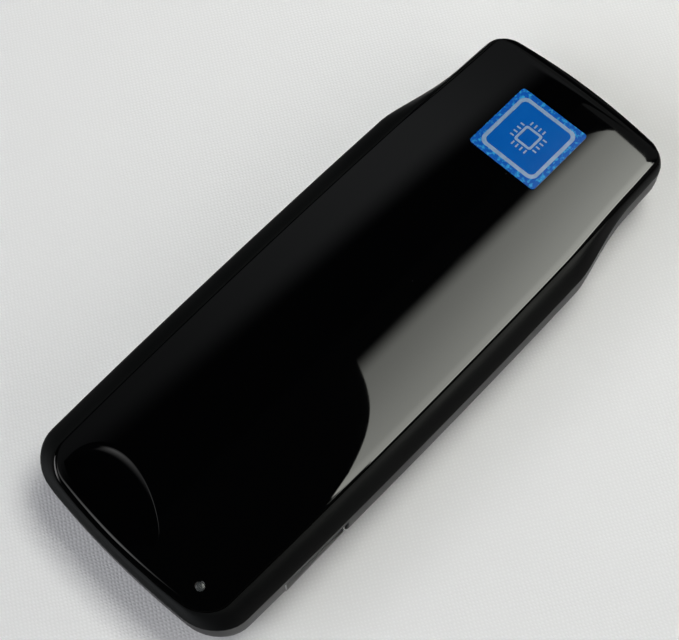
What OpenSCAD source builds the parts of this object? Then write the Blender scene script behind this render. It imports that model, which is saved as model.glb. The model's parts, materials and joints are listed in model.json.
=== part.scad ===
// Stick computer with an HDMI output, built as separate pieces in one frame.
// Millimetres. +X runs along the body to the display socket, +Y to the card slot side, +Z up.
// The body rests on Z = 0 and is centred on X = 0, Y = 0.

/* [Body] */
// Overall length along X
body_l = 112; // [108:0.2:118]
// Overall width along Y at the middle
body_w = 44.6; // [43:0.1:48]
// Height from the rest face to the top of the panel
body_t = 12.5; // [12.4:0.1:14]
// Wall thickness of the bottom cover
wall = 1.5; // [1.2:0.1:1.7]
// Floor thickness of the bottom cover
floor_t = 1.4; // [1.3:0.1:1.6]
// Depth of the parting line below the panel
rim_drop = 1.9; // [1.8:0.05:2.2]
// Height of the upright part of the side wall's lower end
wall_foot = 7.3; // [6.5:0.1:7.8]
// How far the wall curves in under the body
under_inset = 4.5; // [3.8:0.1:4.8]
// Corner radius of the body at the near end
body_r = 6.9; // [6:0.1:7.4]
// Bow of the long sides between the middle and the ends
side_bow = 0.9; // [0.3:0.1:1.1]

/* [Neck] */
// Distance from the far end to the start of the shoulder
neck_back = 28.7; // [27:0.1:31]
// Length of the shoulder along X
neck_l = 16.6; // [15:0.1:20]
// Width of the frame outside the panel at the far end
neck_off = 0.8; // [0.6:0.05:1.1]

/* [Panel] */
// Panel width at the middle
panel_w = 38; // [37:0.1:38.6]
// Distance from the near end of the body to the panel
panel_near = 1.25; // [1.1:0.05:1.6]
// Corner radius of the panel
panel_r = 4.95; // [4.6:0.05:5.4]
// Rounding of the panel's upper edge
panel_edge = 0.4; // [0.2:0.05:0.6]
// Width of the rounding at the panel's near end
near_round = 1.6; // [0.8:0.1:1.7]
// Length of the sloped band at the far end
bevel_l = 3.35; // [3:0.05:4.2]
// Drop of the sloped band at the far end
bevel_drop = 0.6; // [0.4:0.05:0.7]

/* [Power key] */
// Key width along Y
key_w = 19.6; // [18:0.1:20]
// Key length along X
key_l = 8.25; // [7.8:0.05:8.8]
// Distance from the panel's near edge to the key
key_edge = 2.2; // [1.95:0.05:2.4]
// Key centre along Y
key_y = 5.85; // [5:0.05:6.2]
// Depth of the dish in the key
dish_depth = 0.16; // [0.1:0.01:0.3]
// Travel of the key
key_travel = 0.4; // [0.25:0.05:0.45]

/* [Light and badge] */
// Diameter of the light seen in the panel
light_d = 1.45; // [1.2:0.05:1.6]
// Side of the square badge
badge_side = 14.1; // [12:0.1:16]
// Thickness of the badge
badge_t = 0.3; // [0.15:0.05:0.5]
// Distance from the far end to the badge centre
badge_back = 15.45; // [14:0.05:17]

/* [Board] */
// Thickness of the main board
board_t = 1; // [0.8:0.1:1.2]
// Gap between the floor and the board
board_gap = 0.7; // [0.6:0.05:0.9]

/* [Ports] */
// Inner width of the large data socket
usb_w = 12.5; // [12.4:0.05:12.6]
// Inner height of the large data socket
usb_h = 5.12; // [5:0.02:5.16]
// Inner width of the display socket
hdmi_w = 14; // [13.9:0.05:14.1]
// Inner height of the display socket
hdmi_h = 4.55; // [4.5:0.05:4.65]
// Inner width of the power socket
power_w = 6.9; // [6.8:0.05:7]
// Inner height of the power socket
power_h = 1.85; // [1.8:0.05:1.95]
// Inner width of the card slot
card_w = 11.2; // [11.1:0.05:11.4]

/* [Fasteners] */
// Diameter of the case screws
screw_d = 2; // [1.8:0.1:2.2]
// Head diameter of the case screws
head_d = 3.6; // [3.2:0.1:3.8]

/* [Fits] */
// Gap around the panel and the key
seam = 0.12; // [0.08:0.01:0.18]
// Gap around a socket in the wall
port_gap = 0.25; // [0.15:0.05:0.4]
// Gap between a moving piece and its guide
slide_gap = 0.12; // [0.1:0.01:0.2]

/* [Hidden] */
$fn = 48;
// Ends of the body
near_x = -body_l / 2;
far_x = body_l / 2;
// Frame width beside the panel
side_off = (body_w - panel_w) / 2;
// Gap between the panel and the far end of the body
panel_far = 0.4;
// Shoulder range along X, and how fast it turns in
neck_start = far_x - neck_back;
neck_end = neck_start + neck_l;
neck_power = 0.8;
// Corner radius of the panel at the far end, and how much larger the body's is
far_r = 3.75;
far_r_grow = 0.9;
// Bow of the ends
near_bow_panel = 2;
near_bow_body = 1.2;
far_bow = 1.8;
bow_reach = 16;
// Where the drop of the far end starts and where it is complete, from the far end
drop_start = panel_far + bevel_l - 0.05;
drop_full = panel_far + 0.4;
// Points along one half of an outline
edge_n = 6;
corner_n = 10;
long_n = 10;
neck_n = 14;
tail_n = 3;
// Panel layers: flange on top, skirt below it, adhesive sheet, deck of the frame
flange_t = 1.3;
skirt_t = 0.5;
skirt_inset = 0.9;
tape_t = 0.2;
deck_t = 0.9;
z_flange = body_t - flange_t;
z_skirt = z_flange - skirt_t;
z_deck = z_skirt - tape_t;
z_under = z_deck - deck_t;
// Parting line and the rim of the frame, and how fast the frame slopes away from it
z_part = body_t - rim_drop;
z_edge = z_part + 0.15;
z_rim = body_t - 0.45;
slope_power = 1.7;
// Share of the frame's slope that is left out beside the far band
rim_cut = (bevel_drop + 0.1) / (z_rim - z_edge);
// Board levels
z_low = floor_t + board_gap;
z_board = z_low + board_t;
board_near = near_x + 5;
board_far = far_x - 5;
board_half = body_w / 2 - 4.6;
board_neck_half = panel_w / 2 - 3.8;
// Screw places and sizes
screw_near_x = near_x + 11;
screw_far_x = far_x - 9;
screw_near_y = body_w / 2 - 6.35;
screw_far_y = panel_w / 2 - 6.7;
screw_places = [
    [screw_near_x, screw_near_y],
    [screw_near_x, -screw_near_y],
    [screw_far_x, screw_far_y],
    [screw_far_x, -screw_far_y]
];
head_t = 1;
head_floor = floor_t - 0.25;
post_r = 2;
screw_top = z_under - 1.4;
// Key levels
key_x = near_x + panel_near + key_edge;
key_skew = 0.25;
key_full = 0.97;
key_power = 0.75;
key_lift = 1.4;
key_arc_n = 36;
key_base_n = 12;
// Deepest place of the dish on the way from the near side to the arc, and the share left at the arc
dish_low = 0.7;
dish_rim = 0.25;
// How much deeper the dish is toward +Y
dish_skew = 0.5;
// How far the key lies below the panel, and the softening of its edge
key_sink = 0.02;
key_soft = 0.05;
flange_grow = 0.6;
pocket_grow = 0.85;
key_flange_top = z_skirt - 0.1;
key_flange_t = 0.6;
key_flange_low = key_flange_top - key_flange_t;
pocket_floor = key_flange_low - key_travel - 0.1;
tray_low = pocket_floor - 0.8;
key_post_r = 1.4;
key_post_x = key_x + key_l * 0.47;
key_post_y = key_y + 0.5;
// Switch under the key
switch_side = 6;
switch_h = 3.5;
plunger_r = 1.75;
plunger_up = 1;
plunger_in = 0.85;
plunger_top = z_board + switch_h + plunger_up;
// Light place
light_x = near_x + panel_near + 4.45;
light_y = -panel_w / 2 + 5.55;
pipe_r = 0.9;
led_h = 0.6;
// Badge place
badge_x = far_x - badge_back;
badge_y = 0.8;
// Processor and cooling
cpu_side = 16;
cpu_h = 1.25;
pad_t = 0.5;
sink_low = z_board + cpu_h + pad_t;
sink_t = 1;
sink_top = z_under - 0.4;
sink_half = board_half - 0.8;
sink_leg_r = 1.8;
sink_leg_y = board_half - 2.8;
sink_screw_r = 0.8;
sink_head_r = 1.4;
fin_n = 7;
fin_t = 0.8;
// Sheet thickness of the sockets
sheet = 0.3;
// Large data socket on the right side
usb_x = near_x + 21.6;
usb_l = 14;
usb_out_w = usb_w + 2 * sheet;
usb_out_h = usb_h + 2 * sheet;
usb_mouth = -(half_width(usb_x, 1, 0) - 0.6);
// Display socket at the far end
hdmi_l = 11.5;
hdmi_out_w = hdmi_w + 2 * sheet;
hdmi_out_h = hdmi_h + 2 * sheet;
hdmi_mouth = far_x - 1;
hdmi_step = 1.9;
// Power socket on the left side
power_x = near_x + 20.6;
power_l = 5.6;
power_out_w = power_w + 2 * sheet;
power_out_h = power_h + 2 * sheet;
power_mouth = half_width(power_x, 1, 0) - 0.9;
power_step = 0.8;
// Card slot on the left side
card_x = near_x + 36.6;
card_l = 14.6;
card_base_t = 0.5;
card_room = 1.05;
card_out_w = card_w + 2.4;
card_out_h = card_base_t + card_room + sheet;
card_level = asin(1 - z_board / wall_foot);
card_mouth = half_width(card_x, 1, under_in(card_level)) - wall - port_gap;
// Air slots in the left wall
vent_n = 9;
vent_w = 1.6;
vent_low = 4.4;
vent_h = 3.6;
// Wireless module and antenna
radio_y = -7;
radio_side = 12;
radio_h = 1.9;
radio_top = z_board + radio_h;
strip_w = 2.2;
strip_t = 0.15;
strip_y = -(body_w / 2 - 4.7);
cable_r = 0.45;
cable_z = z_under - strip_t - cable_r;
// Clock cell
cell_y = 7.6;
cell_r = 6.25;
cell_h = 1.6;
holder_wall = 0.75;
holder_r = cell_r + holder_wall;
holder_base = 0.6;
// Memory, flash and supply pieces
flash_l = 11.5;
flash_w = 13;
chip_h = 1;
chip_long = 11;
chip_short = 8;
chip_side = 7;
chip_space = 1.5;
edge_space = 3.2;
flash_y = -(board_half - edge_space - flash_w / 2);
chip_low_y = -(board_half - edge_space - chip_long / 2);
chip_high_y = chip_low_y + chip_long + chip_space;
chip_out_y = board_half - 0.45 - chip_side / 2;
coil_side = 4;
coil_h = 1.9;
supply_side = 5;
supply_space = 1.2;
coil_y = usb_mouth + usb_l + supply_space + coil_side / 2;
supply_y = coil_y + coil_side / 2 + supply_space + supply_side / 2;
// Row along X between the data socket and the display socket, with equal gaps
row_near = usb_x + usb_out_w / 2;
row_far = hdmi_mouth - hdmi_l;
row_gap = (row_far - row_near - flash_l - chip_short - cpu_side - 2 * holder_r) / 5;
flash_x = row_near + row_gap + flash_l / 2;
chip_x = flash_x + flash_l / 2 + row_gap + chip_short / 2;
cpu_x = chip_x + chip_short / 2 + row_gap + cpu_side / 2;
cell_x = cpu_x + cpu_side / 2 + row_gap + holder_r;
radio_x = cell_x;
plug_x = radio_x - 2;
plug_y = radio_y - 3.5;
// Cooling plate between the card slot and the clock cell
sink_space = 0.8;
sink_near = max(flash_x + flash_l / 2, card_x + card_out_w / 2) + sink_space;
sink_far = cell_x - holder_r - sink_space;
sink_leg_x = chip_long / 2 + sink_space + sink_leg_r;
sink_places = [
    [cpu_x - sink_leg_x, sink_leg_y],
    [cpu_x - sink_leg_x, -sink_leg_y],
    [cpu_x + sink_leg_x, sink_leg_y],
    [cpu_x + sink_leg_x, -sink_leg_y]
];
fin_span = 2 * (sink_leg_y - sink_head_r - sink_space);
fin_pitch = fin_span / (fin_n - 1);
// Air slots beside the cooling plate
vent_end = 5;
vent_x = sink_near + vent_end;
vent_pitch = (sink_far - sink_near - 2 * vent_end) / (vent_n - 1);
// Antenna along the right side
strip_x = flash_x - 4;
strip_l = cpu_x - 5 - strip_x;
// Label on the underside
label_l = 44;
label_w = 20;
label_t = 0.15;
label_recess = 0.2;

// Share of the shoulder passed at x, from 0 on the body to 1 at the far end
function neck_share(x) =
    let (t = min(1, max(0, (x - neck_start) / neck_l)), s = pow(t, neck_power))
    s * s * (3 - 2 * s);

// Half width at x: k is 0 at the panel edge and 1 at the widest line of the body
function half_width(x, k, inset) =
    panel_w / 2 - side_bow * pow(2 * x / body_l, 2)
    + k * (side_off + (neck_off - side_off) * neck_share(x)) - inset;

// Moves a point of the ends along X so that both ends are bowed
function bowed(p, k) =
    let (near_bow = near_bow_panel + k * (near_bow_body - near_bow_panel))
    let (near_part = pow(max(0, 1 - (p.x - near_x) / bow_reach), 2))
    let (far_part = pow(max(0, 1 - (far_x - p.x) / bow_reach), 2))
    let (v = pow(2 * p.y / panel_w, 2))
    [p.x + (near_bow * near_part - far_bow * far_part) * v, p.y];

// Half of an outline on the +Y side, from the near end to the far end
function half_outline(k, inset, near_in, far_in) =
    let (xn = near_x + panel_near * (1 - k) + near_in, xf = far_x - panel_far * (1 - k) - far_in)
    let (rn = panel_r + k * (body_r - panel_r) - inset, rf = max(0.4, far_r + far_r_grow * k - inset))
    let (yn = half_width(xn + rn, k, inset) - rn, yf = half_width(xf - rf, k, inset) - rf)
    let (xs = xn + rn, xe = xf - rf)
    concat(
        [for (i = [0:edge_n - 1]) [xn, yn * i / edge_n]],
        [for (i = [0:corner_n - 1]) let (a = 90 * i / corner_n) [xs - rn * cos(a), yn + rn * sin(a)]],
        [for (i = [0:long_n - 1])
            let (x = xs + (neck_start - xs) * i / long_n) [x, half_width(x, k, inset)]],
        [for (i = [0:neck_n - 1])
            let (x = neck_start + neck_l * i / neck_n) [x, half_width(x, k, inset)]],
        [for (i = [0:tail_n - 1])
            let (x = neck_end + (xe - neck_end) * i / tail_n) [x, half_width(x, k, inset)]],
        [for (i = [0:corner_n - 1]) let (a = 90 * i / corner_n) [xe + rf * sin(a), yf + rf * cos(a)]],
        [for (i = [0:edge_n]) [xf, yf * (1 - i / edge_n)]]
    );

// Whole outline, both sides
function outline(k, inset, near_in, far_in) =
    let (half = [for (p = half_outline(k, inset, near_in, far_in)) bowed(p, k)], m = len(half))
    concat([for (p = half) [p.x, -p.y]], [for (i = [m - 2:-1:1]) half[i]]);

// Outline lifted to a level
function loop(k, inset, ends, z) = [for (p = outline(k, inset, ends, ends)) [p.x, p.y, z]];

// The same with its own inset at each end
function loop_ends(k, inset, near_in, far_in, z) =
    [for (p = outline(k, inset, near_in, far_in)) [p.x, p.y, z]];

// Share of the drop at x, from 0 on the flat panel to 1 at the far end
function drop_share(x) =
    let (t = min(1, max(0, (x - far_x + drop_start) / (drop_start - drop_full))))
    t * t * (3 - 2 * t);

// Outline of the panel's upper edge, lowered toward the far end
function panel_loop(inset, near_in, far_in, z) =
    [for (p = outline(0, inset, near_in, far_in)) [p.x, p.y, z - bevel_drop * drop_share(p.x)]];

// Near side of the key rises toward its two tips
function key_rise(c) = key_lift * pow(abs(c), 5);

// Outline of the key, grown by g
function key_outline(g) =
    let (l = key_l + 2 * g, half = key_w / 2 + g, x0 = key_x - g)
    concat(
        [for (i = [0:key_base_n - 1])
            let (c = 1 - 2 * i / key_base_n) [x0 + key_rise(c), key_y + half * c]],
        [for (i = [0:key_arc_n - 1])
            let (a = 180 - 180 * i / key_arc_n, c = cos(a), r = key_rise(c))
            let (h = l * key_full * pow(max(0, sin(a)), key_power) * (1 + key_skew * c))
            [x0 + r + h * (1 - r / l), key_y + half * c]]
    );

// Key outline drawn in toward the middle of the key by the share s, at a level
function key_loop(s, z) =
    [for (p = key_outline(-seam))
        [key_post_x + s * (p.x - key_post_x), key_post_y + s * (p.y - key_post_y), z]];

// Share of the dish's depth at the share t of the way from the near side to the arc
function dish_share(t) =
    t < dish_low
    ? sin(90 * pow(t / dish_low, 1.2))
    : 1 - (1 - dish_rim) * pow((t - dish_low) / (1 - dish_low), 2);

// Depth of the dish at a point of the key: none at the near side, fading at both tips
function dish_at(p) =
    let (l = key_l - 2 * seam, c = min(1, max(-1, (p.y - key_y) / (key_w / 2 - seam))))
    let (r = key_rise(c), round = sqrt(1 - c * c))
    let (h = l * key_full * pow(round, key_power) * (1 + key_skew * c) * (1 - r / l))
    let (t = min(1, max(0, (p.x - key_x - seam - r) / max(0.1, h))))
    dish_depth * round * (1 + dish_skew * c) * dish_share(t);

// Loop of the key's upper face, lowered by more at its edge
function dish_loop(s, edge) =
    [for (p = key_loop(s, 0)) [p.x, p.y, body_t - key_sink - edge - dish_at(p)]];

// Skin over a stack of loops with the same number of points
module skin(loops) {
    n = len(loops[0]);
    m = len(loops);
    points = [for (l = loops) for (p = l) p];
    low = [[for (i = [0:n - 1]) i]];
    high = [[for (i = [n - 1:-1:0]) (m - 1) * n + i]];
    side_a = [for (j = [0:m - 2]) for (i = [0:n - 1])
        [j * n + i, (j + 1) * n + i, (j + 1) * n + (i + 1) % n]];
    side_b = [for (j = [0:m - 2]) for (i = [0:n - 1])
        [j * n + i, (j + 1) * n + (i + 1) % n, j * n + (i + 1) % n]];
    polyhedron(points = points, faces = concat(low, side_a, side_b, high), convexity = 8);
}

// Straight block with the outline of a level
module block(k, inset, z0, z1) {
    translate([0, 0, z0])
        linear_extrude(z1 - z0)
            polygon(outline(k, inset, inset, inset));
}

// Straight block with the outline of the key
module key_block(g, z0, z1) {
    translate([0, 0, z0])
        linear_extrude(z1 - z0)
            polygon(key_outline(g));
}

// Box from its centre in X and Y and its lower level
module box_at(x, y, z, l, w, h) {
    translate([x - l / 2, y - w / 2, z])
        cube([l, w, h]);
}

// Upright round bar between two levels
module bar(x, y, z0, z1, r) {
    translate([x, y, z0])
        cylinder(h = z1 - z0, r = r);
}

// Flat plate with round corners
module round_plate(x, y, z, l, w, h, r) {
    box_at(x, y, z, l - 2 * r, w, h);
    box_at(x, y, z, l, w - 2 * r, h);
    for (sx = [-1, 1])
        for (sy = [-1, 1])
            bar(x + sx * (l / 2 - r), y + sy * (w / 2 - r), z, z + h, r);
}

// Level of the curved wall under the body: a runs from 0 at the upright wall to 90 at the rest face
function under_z(a) = wall_foot * (1 - sin(a));
function under_in(a) = under_inset * (1 - cos(a));
function under_loop(a) = loop(1, under_in(a), under_in(a), under_z(a));
function inner_loop(a) = loop(1, under_in(a) + wall, under_in(a) + wall, under_z(a));

// Lower tray with bosses, port openings, air slots and the label recess
module bottom_cover() {
    inner_low = under_in(55) + wall;
    color("#2a2a2c")
    difference() {
        union() {
            skin([
                under_loop(90), under_loop(75), under_loop(60), under_loop(45), under_loop(30),
                under_loop(15), under_loop(0), loop(1, 0, 0, z_part - 0.12), loop(1, 0.1, 0.1, z_part),
                loop(1, wall, wall, z_part), inner_loop(0), inner_loop(18), inner_loop(36),
                loop(1, inner_low, inner_low, floor_t)
            ]);
            for (p = screw_places)
                bar(p.x, p.y, floor_t - 0.2, z_low, post_r + 0.9);
        }
        for (p = screw_places) {
            bar(p.x, p.y, -1, head_floor, head_d / 2 + 0.15);
            bar(p.x, p.y, -1, z_low + 1, screw_d / 2 + 0.15);
        }
        box_at(0, 0, -1, label_l, label_w, 1 + label_recess);
        usb_window();
        hdmi_window();
        power_window();
        card_window();
        for (i = [0:vent_n - 1])
            box_at(vent_x + i * vent_pitch, body_w / 2, vent_low, vent_w, 8, vent_h);
    }
}

module usb_window() {
    box_at(usb_x, -body_w / 2, z_board - port_gap, usb_out_w + 2 * port_gap, 8, usb_out_h + 2 * port_gap);
}

module hdmi_window() {
    box_at(far_x, 0, z_board - port_gap, 8, hdmi_out_w + 2 * port_gap, hdmi_out_h + 2 * port_gap);
}

module power_window() {
    box_at(power_x, body_w / 2, z_board - port_gap,
        power_out_w + 2 * port_gap, 8, power_out_h + 2 * port_gap);
}

module card_window() {
    box_at(card_x, body_w / 2, z_board + card_base_t - 0.2, card_w + 0.4, 8, card_room + 0.4);
}

// Level of the frame's slope at the share k of its width
function slope_z(k) = z_rim - (z_rim - z_edge) * pow(k, slope_power);
function slope_loop(k) =
    [for (p = outline(k, 0, 0, 0))
        [p.x, p.y, z_edge + (slope_z(k) - z_edge) * (1 - rim_cut * drop_share(p.x))]];

// Satin frame with the deck, the screw posts and the tray that guides the key
module upper_frame() {
    color("#1c1c1e")
    difference() {
        union() {
            skin([
                loop(1, 0.1, 0.1, z_part), loop(1, 0, 0, z_edge - 0.03), slope_loop(0.985), slope_loop(0.85),
                slope_loop(0.65), slope_loop(0.45), slope_loop(0.28), slope_loop(0.12)
            ]);
            block(1, wall + 0.1, z_under, z_part + 0.1);
            for (p = screw_places)
                bar(p.x, p.y, z_board, z_under + 0.1, post_r);
            intersection() {
                key_block(pocket_grow + 1, tray_low, z_under + 0.1);
                block(1, wall + 0.1, tray_low - 1, z_deck);
            }
        }
        block(0, -seam, z_flange - 0.02, body_t + 1);
        block(0, skirt_inset - seam, z_deck, body_t + 1);
        key_block(pocket_grow, pocket_floor, body_t + 1);
        bar(key_post_x, key_post_y, tray_low - 1, body_t, key_post_r + slide_gap);
        bar(light_x, light_y, z_under - 1, body_t, pipe_r + 0.1);
        for (p = screw_places)
            bar(p.x, p.y, z_board - 1, screw_top + 0.3, screw_d / 2 + 0.02);
    }
}

// Gloss panel with the key opening, the light hole and the sloped band at the far end
module top_panel() {
    e = panel_edge;
    color("#0a0a0b")
    difference() {
        union() {
            skin([
                loop(0, 0, 0, z_flange), panel_loop(0, 0, 0, body_t - e),
                panel_loop(e * 0.08, near_round * 0.08, e * 0.12, body_t - e * 0.6),
                panel_loop(e * 0.3, near_round * 0.3, e * 0.5, body_t - e * 0.28),
                panel_loop(e * 0.62, near_round * 0.62, e * 1.2, body_t - e * 0.08),
                loop_ends(0, e, near_round, bevel_l, body_t)
            ]);
            block(0, skirt_inset, z_skirt, z_flange + 0.1);
        }
        key_block(0, z_skirt - 1, body_t + 1);
        bar(light_x, light_y, z_skirt - 1, body_t + 1, light_d / 2 + 0.03);
    }
}

// Adhesive sheet between the deck and the panel
module panel_tape() {
    color("#55524c")
    difference() {
        block(0, 1.9, z_deck, z_skirt);
        key_block(pocket_grow + 0.3, z_deck - 1, z_skirt + 1);
        bar(light_x, light_y, z_deck - 1, z_skirt + 1, pipe_r + 0.8);
    }
}

// Dished power key with its flange and post
module power_key() {
    middle = body_t - key_sink - dish_at([key_post_x, key_post_y]);
    color("#0c0c0d") {
        skin([
            key_loop(1, key_flange_low + 0.1), dish_loop(1, key_soft), dish_loop(0.985, 0),
            dish_loop(0.95, 0), dish_loop(0.9, 0), dish_loop(0.83, 0), dish_loop(0.72, 0),
            dish_loop(0.56, 0), dish_loop(0.36, 0), dish_loop(0.16, 0), key_loop(0.03, middle)
        ]);
        key_block(flange_grow, key_flange_low, key_flange_top);
        bar(key_post_x, key_post_y, plunger_top, key_flange_low + 0.1, key_post_r);
    }
}

// Clear rod that brings the status light to the panel
module light_pipe() {
    color("#dfe6ea") {
        bar(light_x, light_y, z_board + led_h + 0.15, z_deck, pipe_r);
        bar(light_x, light_y, z_deck, z_skirt, pipe_r + 0.5);
        bar(light_x, light_y, z_skirt, body_t, light_d / 2);
    }
}

// Plain square badge on the panel
module badge_sticker() {
    color("#1d5fb4")
    round_plate(badge_x, badge_y, body_t, badge_side, badge_side, badge_t, 0.6);
}

// Blank label in its recess on the underside
module rating_label() {
    color("#c9c9c6")
    box_at(0, 0, label_recess - label_t, label_l - 0.3, label_w - 0.3, label_t);
}

// Four case screws from below
module case_screws() {
    color("#8c8f94")
    for (p = screw_places)
        difference() {
            union() {
                bar(p.x, p.y, head_floor - head_t, head_floor, head_d / 2);
                bar(p.x, p.y, head_floor - 0.1, screw_top, screw_d / 2);
            }
            box_at(p.x, p.y, -1, head_d * 0.62, 0.5, 1 + head_floor - head_t + 0.5);
            box_at(p.x, p.y, -1, 0.5, head_d * 0.62, 1 + head_floor - head_t + 0.5);
        }
}

// Circuit board, narrower at the far end
module main_board() {
    c = 2.4;
    color("#14532d")
    difference() {
        translate([0, 0, z_low])
            linear_extrude(board_t)
                polygon([
                    [board_near, -board_half + c], [board_near + c, -board_half],
                    [neck_start - 1, -board_half], [neck_end - 3, -board_neck_half],
                    [board_far - c, -board_neck_half], [board_far, -board_neck_half + c],
                    [board_far, board_neck_half - c], [board_far - c, board_neck_half],
                    [neck_end - 3, board_neck_half], [neck_start - 1, board_half],
                    [board_near + c, board_half], [board_near, board_half - c]
                ]);
        for (p = screw_places)
            bar(p.x, p.y, z_low - 1, z_board + 1, screw_d / 2 + 0.2);
        for (p = sink_places)
            bar(p.x, p.y, z_low - 1, z_board + 1, sink_screw_r + 0.02);
    }
}

// Processor package with its bare die
module processor() {
    color("#2f4f3a")
    box_at(cpu_x, 0, z_board, cpu_side, cpu_side, cpu_h * 0.65);
    color("#5d6470")
    box_at(cpu_x, 0, z_board + cpu_h * 0.65 - 0.01, cpu_side * 0.55, cpu_side * 0.5, cpu_h * 0.35 + 0.01);
}

// Four memory packages around the processor
module memory_chips() {
    color("#191a1c") {
        box_at(chip_x, chip_low_y, z_board, chip_short, chip_long, chip_h);
        box_at(chip_x, chip_high_y, z_board, chip_short, chip_long, chip_h);
        box_at(cpu_x, -chip_out_y, z_board, chip_long, chip_side, chip_h);
        box_at(cpu_x, chip_out_y, z_board, chip_long, chip_side, chip_h);
    }
}

module flash_chip() {
    color("#1b1b1d")
    box_at(flash_x, flash_y, z_board, flash_l, flash_w, chip_h);
}

module power_chip() {
    color("#1d1d20")
    box_at(usb_x, supply_y, z_board, supply_side, supply_side, 0.9);
}

module clock_crystal() {
    color("#b9bcc0")
    round_plate(chip_x, chip_high_y + chip_long / 2 + chip_space + 1, z_board, 3.2, 2, 0.8, 0.3);
}

// One coil in its square case
module coil(x, y) {
    round_plate(x, y, z_board, coil_side, coil_side, coil_h, 0.5);
}

// Three coils of the supply
module inductors() {
    color("#3a3a3c") {
        for (side = [-1, 1])
            coil(usb_x + side * (coil_side + supply_space) / 2, coil_y);
        coil(power_x, power_mouth - power_l - supply_space - coil_side / 2);
    }
}

// Small capacitors beside the processor and the flash chip
module capacitors() {
    color("#a58a62") {
        for (i = [-2:2])
            box_at(cpu_x - cpu_side / 2 - row_gap / 2, i * cpu_side / 5.4, z_board, 0.8, 1.6, 0.8);
        for (i = [-1:1])
            box_at(flash_x + i * flash_l / 3, -board_half + edge_space / 2, z_board, 1.6, 0.8, 0.8);
    }
}

module status_led() {
    color("#f2f0d8")
    box_at(light_x, light_y, z_board, 1.6, 0.8, led_h);
}

// Body of the push switch with the bore of its plunger
module switch_base() {
    color("#222326")
    difference() {
        box_at(key_post_x, key_post_y, z_board, switch_side, switch_side, switch_h);
        bar(key_post_x, key_post_y, z_board + switch_h - plunger_in - key_travel - 0.15,
            z_board + switch_h + 1, plunger_r + slide_gap);
    }
}

module switch_plunger() {
    color("#c9c4b8")
    bar(key_post_x, key_post_y, plunger_top - plunger_up - plunger_in, plunger_top, plunger_r);
}

module thermal_pad() {
    color("#8fa3b5")
    box_at(cpu_x, 0, z_board + cpu_h, cpu_side * 0.6, cpu_side * 0.6, pad_t);
}

// Finned plate on four legs over the processor
module heat_sink() {
    color("#b6babf")
    difference() {
        union() {
            translate([sink_near, -sink_half, sink_low])
                cube([sink_far - sink_near, 2 * sink_half, sink_t]);
            for (i = [0:fin_n - 1])
                translate([sink_near, (i - (fin_n - 1) / 2) * fin_pitch - fin_t / 2, sink_low])
                    cube([sink_far - sink_near, fin_t, sink_top - sink_low]);
            for (p = sink_places)
                bar(p.x, p.y, z_board, sink_low + sink_t, sink_leg_r);
        }
        for (p = sink_places)
            bar(p.x, p.y, z_board - 1, sink_low + sink_t + 1, sink_screw_r + 0.02);
    }
}

// Four small screws that hold the cooling plate to the board
module heat_sink_screws() {
    color("#8c8f94")
    for (p = sink_places) {
        bar(p.x, p.y, z_low + 0.2, sink_low + sink_t + 0.1, sink_screw_r);
        bar(p.x, p.y, sink_low + sink_t, sink_low + sink_t + 0.8, sink_head_r);
    }
}

// Radio module: carrier with a metal can and a cable socket
module wireless_module() {
    color("#b9bcc0") {
        box_at(radio_x, radio_y, z_board, radio_side, radio_side, 0.6);
        box_at(radio_x, radio_y, z_board + 0.5, radio_side - 1, radio_side - 1, radio_h - 0.5);
    }
}

// Flexible antenna under the deck
module antenna_strip() {
    color("#c7903a")
    translate([strip_x, strip_y - strip_w / 2, z_under - strip_t])
        cube([strip_l, strip_w, strip_t]);
}

// Direction of length one
function unit(v) = v / norm(v);

// Direction of a route at one of its points
function heading(route, i) =
    unit(unit(route[min(i + 1, len(route) - 1)] - route[i == 0 ? 0 : i]
        + (i == len(route) - 1 ? route[i] - route[i - 1] : [0, 0, 0]))
        + (i == 0 ? [0, 0, 0] : unit(route[i] - route[i - 1])));

// Round loop across a route
function tube_loop(p, t, r, n) =
    let (s = unit(cross([0, 0, 1], t)), u = cross(t, s))
    [for (i = [0:n - 1]) p + r * (cos(360 * i / n) * s + sin(360 * i / n) * u)];

// Coaxial cable from the antenna to the radio, with its plug
module antenna_cable() {
    step = plug_y - strip_y;
    fall = radio_top + 0.6 - cable_z;
    route = [
        [strip_x + strip_l - 1.5, strip_y, cable_z],
        [sink_far - 6, strip_y, cable_z],
        [sink_far - 2, strip_y + step * 0.04, cable_z],
        [sink_far + 1, strip_y + step * 0.2, cable_z + fall * 0.1],
        [sink_far + 3.4, strip_y + step * 0.45, cable_z + fall * 0.35],
        [sink_far + 5, strip_y + step * 0.7, cable_z + fall * 0.72],
        [plug_x - 0.9, strip_y + step * 0.88, cable_z + fall * 0.97],
        [plug_x, plug_y, cable_z + fall]
    ];
    color("#1f1f21") {
        skin([for (i = [0:len(route) - 1]) tube_loop(route[i], heading(route, i), cable_r, 10)]);
        bar(plug_x, plug_y, radio_top, radio_top + 1.1, 1.1);
    }
}

module clock_cell() {
    color("#c5c8cb")
    bar(cell_x, cell_y, z_board + holder_base, z_board + holder_base + cell_h, cell_r);
}

// Open ring that holds the clock cell
module cell_holder() {
    color("#2b2b2e")
    difference() {
        bar(cell_x, cell_y, z_board, z_board + holder_base + cell_h * 0.7, holder_r);
        bar(cell_x, cell_y, z_board + holder_base, z_board + 5, cell_r + 0.05);
    }
}

// Cross-section of the display socket, from its lower edge up
module hdmi_profile(w, h, s) {
    polygon([
        [-w / 2, h], [-w / 2, h * 0.42], [-w / 2 + s, h * 0.2], [-w / 2 + s, 0],
        [w / 2 - s, 0], [w / 2 - s, h * 0.2], [w / 2, h * 0.42], [w / 2, h]
    ]);
}

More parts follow.
